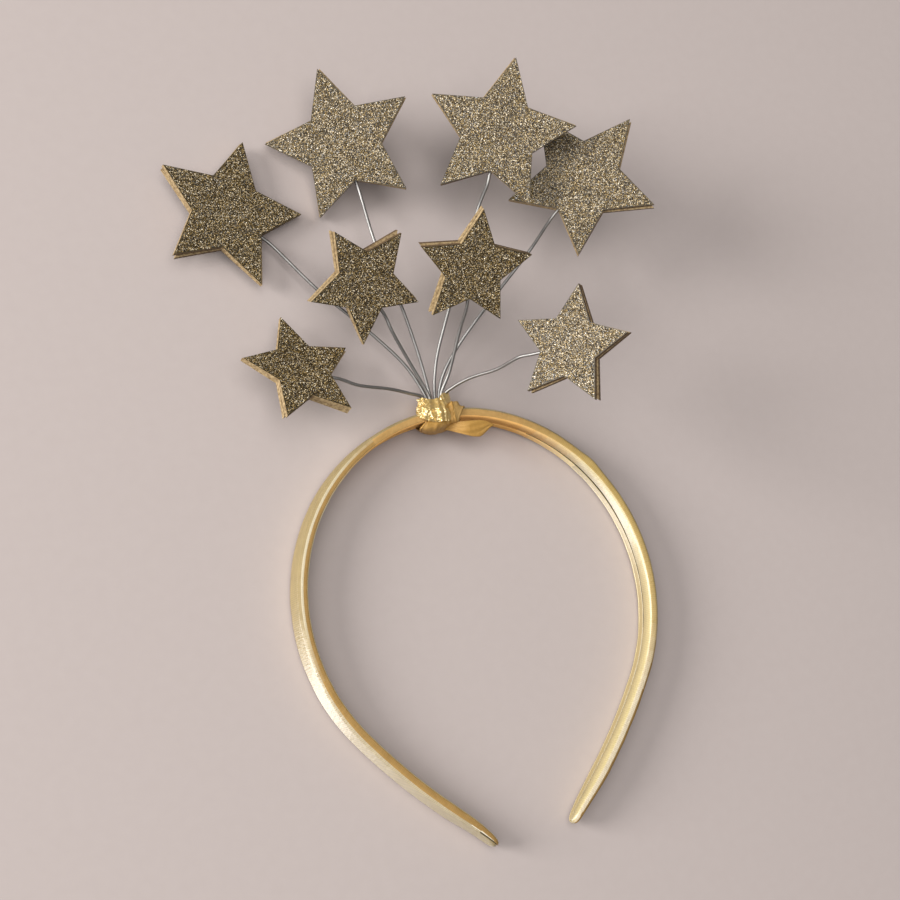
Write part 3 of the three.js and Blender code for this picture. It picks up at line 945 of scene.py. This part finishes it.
def make_lining():
    face = -BAND_HALF_THICKNESS - LINING_PROUD
    floor = -BAND_HALF_THICKNESS + LINING_DEPTH
    outline = rounded_box(
        face, floor, LINING_BACK, LINING_FRONT, LINING_CORNER, LINING_CORNER, LINING_CORNER_STEPS
    )
    s = band_stations(HALF_LENGTH - LINING_SHORT)[:, None]
    size = band_size(s)
    points = on_hoop(s, outline[:, 0] * size + end_flare(s), outline[:, 1] * size)
    # Near the crown the lining takes the inner side's painted light, and along the arms its front edge is
    # painted dark as shade
    materials = [lining, seam_shade, *inner_shades]
    step = shade_step(np.abs(s), SHADE_FROM, SHADE_TO)
    tone = np.where(step < SHADES - 1, materials.index(inner_shades[0]) + step, materials.index(lining))
    slots = np.repeat(tone, len(outline), axis=1)
    dark = (np.abs(s[:, 0]) > SEAM_SHADE_FROM) & (np.abs(s[:, 0]) < SEAM_SHADE_TO)
    front_side = LINING_CORNER_STEPS
    slots[dark, front_side] = materials.index(seam_shade)
    add_cloth(
        "lining_ribbon", points, materials, ["lining"], angle=THREAD_ANGLE, slots=slots
    )


# Ribbon knot

def make_wrap():
    first = WRAP_SECTIONS[0]["along"]
    last = WRAP_SECTIONS[-1]["along"]
    places = np.linspace(first, last, round((last - first) / WRAP_STEP) + 1)[:, None]
    outer = BAND_HALF_THICKNESS + WRAP_CLEARANCE + smooth_table(places, WRAP_SECTIONS, "along", "top")
    inner = BAND_HALF_THICKNESS + LINING_PROUD + WRAP_CLEARANCE
    inner = inner + smooth_table(places, WRAP_SECTIONS, "along", "inside")
    front = BAND_HALF_WIDTH + WRAP_CLEARANCE + smooth_table(places, WRAP_SECTIONS, "along", "front")
    back = BAND_HALF_WIDTH + WRAP_CLEARANCE + WRAP_BACK
    angle = np.linspace(0, 2 * math.pi, WRAP_COLUMNS, endpoint=False)
    ring_u = squarish(np.cos(angle), WRAP_ROUNDNESS)
    ring_v = squarish(np.sin(angle), WRAP_ROUNDNESS)
    u = (outer - inner) / 2 + (outer + inner) / 2 * ring_u
    v = (front - back) / 2 + (front + back) / 2 * ring_v
    past_flat = places - FLAT_EDGE["at"] - FLAT_EDGE["slant"] * u
    flat = BAND_HALF_WIDTH + WRAP_CLEARANCE + FLAT_LIFT
    v = np.where(v > flat, flat + (v - flat) * np.clip(past_flat / FLAT_BLEND, 0, 1), v)
    past_facet = places - FACET_EDGE["at"] - FACET_EDGE["slant"] * u
    bare = (past_flat < 0) & (v > 0)
    # Painted light: the facet takes a lit tone of the band's front
    lit_facet = front_lit_shades[1]
    materials = [ribbon, lit_facet]
    left_out = -1
    tones = np.select([bare, past_facet > FACET_MARGIN], [left_out, materials.index(lit_facet)], 0)
    along = places + WRAP_SLANT * u + WRAP_SKEW * v
    lift = WRAP_CRUMPLE * rumple(on_hoop(along, u, v), WRAP_CRUMPLE_SIZE)
    for fold in WRAP_FOLDS:
        lift += fold["height"] * hump((places - fold["at"] - fold["slant"] * u) / fold["breadth"])
    reach = np.hypot(u, v)
    u = u + lift * u / reach
    v = v + np.where(v > 0, lift * v / reach, 0)
    points = on_hoop(along, u, v)
    tucked_u = BAND_HALF_THICKNESS * ring_u
    tucked_v = BAND_HALF_WIDTH * ring_v
    hems = [
        on_hoop(end + WRAP_SLANT * tucked_u + WRAP_SKEW * tucked_v, tucked_u, tucked_v)[None]
        for end in (first, last)
    ]
    points = np.concatenate([hems[0], points, hems[1]])
    slots = np.concatenate([tones[:1], tones, tones[-1:]])
    add_cloth(
        "ribbon_wrap_satin", points, materials, ["ribbon_wrap"],
        capped=False, angle=THREAD_ANGLE, slots=slots,
    )


def make_collar():
    heading = np.linspace(-180, 180, COLLAR_COLUMNS, endpoint=False)
    hem = smooth_table(heading, COLLAR_EDGES, "heading", "hem")
    rim = smooth_table(heading, COLLAR_EDGES, "heading", "rim")
    share = np.linspace(0, 1, COLLAR_ROWS)[:, None]
    y = hem + (rim - hem) * share
    half_width = smooth_table(y, COLLAR_PROFILE, "y", "half_width")
    half_depth = smooth_table(y, COLLAR_PROFILE, "y", "half_depth")
    angle = np.radians(heading)
    ring_x = squarish(np.sin(angle), COLLAR_ROUNDNESS)
    ring_z = squarish(np.cos(angle), COLLAR_ROUNDNESS)
    points = np.stack([half_width * ring_x, y, half_depth * ring_z], axis=-1)
    lift = np.zeros_like(y)
    for crease in COLLAR_CREASES:
        lift += crease["height"] * hump((heading - crease["heading"]) / crease["breadth"])
    for crumple in COLLAR_CRUMPLES:
        ridges = 1 - 2 * np.abs(rumple(points, crumple["size"]))
        lift += crumple["height"] * (ridges - ridges.mean())
    points[..., 0] += lift * np.sin(angle)
    points[..., 2] += lift * np.cos(angle)
    points[..., 0] += WRAP_SKEW * points[..., 2] + COLLAR_OFFSET
    lip = points[-1] * np.array([COLLAR_LIP_WIDTH, 1, COLLAR_LIP_DEPTH])
    well = lip - np.array([0, COLLAR_WELL, 0])
    points = np.concatenate([points, lip[None], well[None]])
    add_cloth("ribbon_collar_satin", points, [foil], ["ribbon_collar"], angle=THREAD_ANGLE)


def make_tail():
    along = np.linspace(0, 1, TAIL_ROWS)[:, None]
    upper = smooth_table(along, TAIL_EDGES, "along", "upper")
    lower = smooth_table(along, TAIL_EDGES, "along", "lower")
    share = np.linspace(0, 1, TAIL_COLUMNS)
    y = TAIL_DEPTH * (upper + (lower - upper) * share)
    x = TAIL_LENGTH * along + 0 * y
    z = TAIL_PUFF * np.sin(math.pi * share) * np.sin(math.pi * along)
    z = z + TAIL_WAVE * np.sin(2 * math.pi * (TAIL_WAVES_ACROSS * share + TAIL_WAVES_ALONG * along))
    z = z - TAIL_TUCK * np.maximum(1 - along / TAIL_TUCK_SHARE, 0) ** 2
    flat = np.stack([x, y, z], axis=-1)
    turn = np.array(Matrix.Rotation(TAIL_SAG, 3, "Z") @ Matrix.Rotation(TAIL_LEAN, 3, "X"))
    points = flat @ turn.T + np.array(TAIL_ROOT)
    obj = add_cloth(
        "ribbon_tail_satin", points, [ribbon], ["ribbon_tail"], closed=False, capped=False
    )
    thickness = obj.modifiers.new("thickness", "SOLIDIFY")
    thickness.thickness = TAIL_THICKNESS * MM
    thickness.offset = 0


# Stars and wires

def star_turn(star):
    heading = math.radians(star["toward"])
    axis = Vector((-math.sin(heading), math.cos(heading), 0))
    leaning = Matrix.Rotation(math.radians(star["lean"]), 3, axis)
    return leaning @ Matrix.Rotation(math.radians(star["turn"] - STAR_UP), 3, "Z")


def star_corners(radius):
    i = np.arange(2 * STAR_POINTS)
    reach = np.where(i % 2, radius * STAR_INNER, radius)
    angle = math.radians(STAR_UP) + i * math.pi / STAR_POINTS
    return np.stack([reach * np.cos(angle), reach * np.sin(angle)], axis=1)


def in_star(star, points):
    return points @ np.array(star_turn(star)).T + np.array(star["at"])


def slipped(points, slip):
    shift_x, shift_y, degrees = slip
    turn = np.array(Matrix.Rotation(math.radians(degrees), 3, "Z"))
    return points @ turn.T + np.array([shift_x, shift_y, 0])


def make_layer(star, number, name, side):
    """One layer: a star-shaped sheet whose outer face carries the glitter."""
    corners = star_corners(star["radius"])
    count = len(corners)
    near = np.full((count, 1), side * GLUE_LINE / 2)
    far = np.full((count, 1), side * (GLUE_LINE / 2 + LAYER))
    points = np.concatenate([np.hstack([corners, near]), np.hstack([corners, far])])
    if side < 0:
        points = slipped(points, star["slip"])
    inner_face = list(range(count))
    outer_face = list(range(count, 2 * count))
    walls = [[i, (i + 1) % count, count + (i + 1) % count, count + i] for i in range(count)]
    faces = [inner_face, outer_face, *walls]
    along = np.roll(corners, -1, axis=0) - corners
    outwards = np.stack([along[:, 1], -along[:, 0], np.zeros(count)], axis=1)
    outwards /= np.linalg.norm(outwards, axis=1)[:, None]
    turned = outwards @ np.array(star_turn(star)).T
    # Walls turned from the light get the darker copy of the edge, a painted shade
    dark = turned @ np.array(EDGE_LIT_SIDE) < EDGE_LIT_FROM
    materials = [sheet_face, sheet_edge, sheet_edge_shaded]
    wall_slots = np.where(dark, materials.index(sheet_edge_shaded), materials.index(sheet_edge))
    face_slots = [materials.index(sheet_edge), materials.index(sheet_face), *wall_slots.tolist()]
    sheet = add_mesh(
        f"star_{number}_{name}_sheet", in_star(star, points), faces, materials,
        [f"star_{number}_{name}"], face_slots=face_slots, smooth=False,
    )
    face_outwards(sheet)


def make_glitter(star, number, name, side, dice):
    """Flakes over a layer's outer face, each tilted its own way."""
    reach = star["radius"] - FLAKE_MARGIN
    corners = star_corners(reach)
    area = STAR_POINTS * STAR_INNER * reach**2 * math.sin(math.pi / STAR_POINTS)
    count = round(FLAKES_PER_MM2 * area)
    wedge = dice.integers(0, len(corners), count)
    spread = np.sqrt(dice.random(count))[:, None]
    share = dice.random(count)[:, None]
    flat = spread * ((1 - share) * corners[wedge] + share * corners[(wedge + 1) % len(corners)])
    lift = GLUE_LINE / 2 + LAYER + dice.uniform(*FLAKE_LIFT, count)
    centre = np.hstack([flat, lift[:, None]])
    tilt = dice.normal(0, FLAKE_TILT, (count, 2))
    normal = np.hstack([tilt, np.ones((count, 1))])
    normal /= np.linalg.norm(normal, axis=1)[:, None]
    first = np.cross(np.array([0.0, 1.0, 0.0]), normal)
    first /= np.linalg.norm(first, axis=1)[:, None]
    second = np.cross(normal, first)
    radius = dice.uniform(*FLAKE_RADIUS, count)[:, None, None]
    start = dice.uniform(0, 2 * math.pi, count)[:, None]
    angle = start + 2 * math.pi * np.arange(FLAKE_SIDES) / FLAKE_SIDES
    ring = np.cos(angle)[..., None] * first[:, None] + np.sin(angle)[..., None] * second[:, None]
    points = (centre[:, None] + radius * ring).reshape(-1, 3)
    if side < 0:
        points = slipped(points * np.array([1, 1, -1]), star["slip"])
    faces = np.arange(count * FLAKE_SIDES).reshape(count, FLAKE_SIDES)
    faces = faces if side > 0 else faces[:, ::-1]
    add_mesh(
        f"star_{number}_{name}_glitter", in_star(star, points), faces.tolist(), [glitter],
        smooth=False,
    )


def smooth_path(points):
    """A centripetal curve through points, in even steps between each pair."""
    points = [Vector(p) for p in points]
    points = [2 * points[0] - points[1], *points, 2 * points[-1] - points[-2]]
    path = []
    for a, b, c, d in zip(points, points[1:], points[2:], points[3:]):
        gap = [math.sqrt((q - p).length) for p, q in ((a, b), (b, c), (c, d))]
        leave = ((b - a) / gap[0] - (c - a) / (gap[0] + gap[1]) + (c - b) / gap[1]) * gap[1]
        arrive = ((c - b) / gap[1] - (d - b) / (gap[1] + gap[2]) + (d - c) / gap[2]) * gap[1]
        for i in range(WIRE_STEPS):
            path.append(curve(i / WIRE_STEPS, b, leave, c, arrive))
    return [*path, points[-2]]


def make_wire(wire, star, number):
    z = wire["row"] * WIRE_ROW
    turn = star_turn(star)
    valley = -STAR_INNER * star["radius"]
    stops = (valley - WIRE_APPROACH, valley, WIRE_REACH * star["radius"])
    last = [turn @ Vector((0, y, 0)) + Vector(star["at"]) for y in stops]
    foot = [(wire["foot_x"], y, z) for y in (WIRE_FOOT, WIRE_OUT)]
    path = smooth_path([*foot, *wire["bends"], *last])
    side = Vector((0, 0, 1))
    angles = [2 * math.pi * k / WIRE_SIDES for k in range(WIRE_SIDES)]
    rings = []
    for i, point in enumerate(path):
        ahead = (path[min(i + 1, len(path) - 1)] - path[max(i - 1, 0)]).normalized()
        side = (side - ahead * side.dot(ahead)).normalized()
        other = ahead.cross(side)
        rings.append([point + WIRE_RADIUS * (math.cos(a) * side + math.sin(a) * other) for a in angles])
    add_cloth(f"wire_{number}_metal", np.array(rings), [wire_metal], [f"wire_{number}"])


# Table, light and camera

def make_table():
    corners = [(-1, -1), (1, -1), (1, 1), (-1, 1)]
    mesh = bpy.data.meshes.new("table")
    mesh.from_pydata([(x * TABLE_HALF, y * TABLE_HALF, 0) for x, y in corners], [], [(0, 1, 2, 3)])
    mesh.materials.append(make_grained("table"))
    table = bpy.data.objects.new("table", mesh)
    bpy.context.scene.collection.objects.link(table)


def make_sky():
    world = bpy.data.worlds.new("soft_light")
    world.use_nodes = True
    set_inputs(world.node_tree.nodes["Background"], Color=SKY_COLOUR, Strength=SKY_STRENGTH)
    bpy.context.scene.world = world


def add_light(row):
    data = bpy.data.lights.new(row["name"], "AREA")
    data.shape = "DISK"
    data.size = row["size"]
    data.energy = row["power"]
    data.color = row["colour"]
    light = bpy.data.objects.new(row["name"], data)
    direction = Vector(row["direction"]).normalized()
    light.location = direction * row["distance"]
    light.rotation_mode = "QUATERNION"
    light.rotation_quaternion = direction.to_track_quat("Z", "Y")
    bpy.context.scene.collection.objects.link(light)


def add_camera():
    data = bpy.data.cameras.new("camera")
    data.lens = CAMERA_LENS
    data.sensor_width = CAMERA_SENSOR
    camera = bpy.data.objects.new("camera", data)
    turn = PLACE.to_3x3()
    back = (turn @ TO_CAMERA).normalized()
    right = (turn @ CAMERA_UP).cross(back).normalized()
    axes = Matrix((right, back.cross(right), back)).transposed()
    place = (PLACE @ LOOK_AT + back * CAMERA_DISTANCE) * MM
    camera.matrix_world = Matrix.Translation(place) @ axes.to_4x4()
    bpy.context.scene.collection.objects.link(camera)
    bpy.context.scene.camera = camera


make_band()
make_lining()
make_wrap()
make_collar()
make_tail()
dice = np.random.default_rng(FLAKE_SEED)
for number, (star, wire) in enumerate(zip(STARS, WIRES), start=1):
    make_wire(wire, star, number)
    for name, side in LAYER_SIDES.items():
        make_layer(star, number, name, side)
        make_glitter(star, number, name, side, dice)
make_table()
make_sky()
for row in LIGHTS:
    add_light(row)
add_camera()
bpy.context.scene.view_settings.view_transform = "Standard"
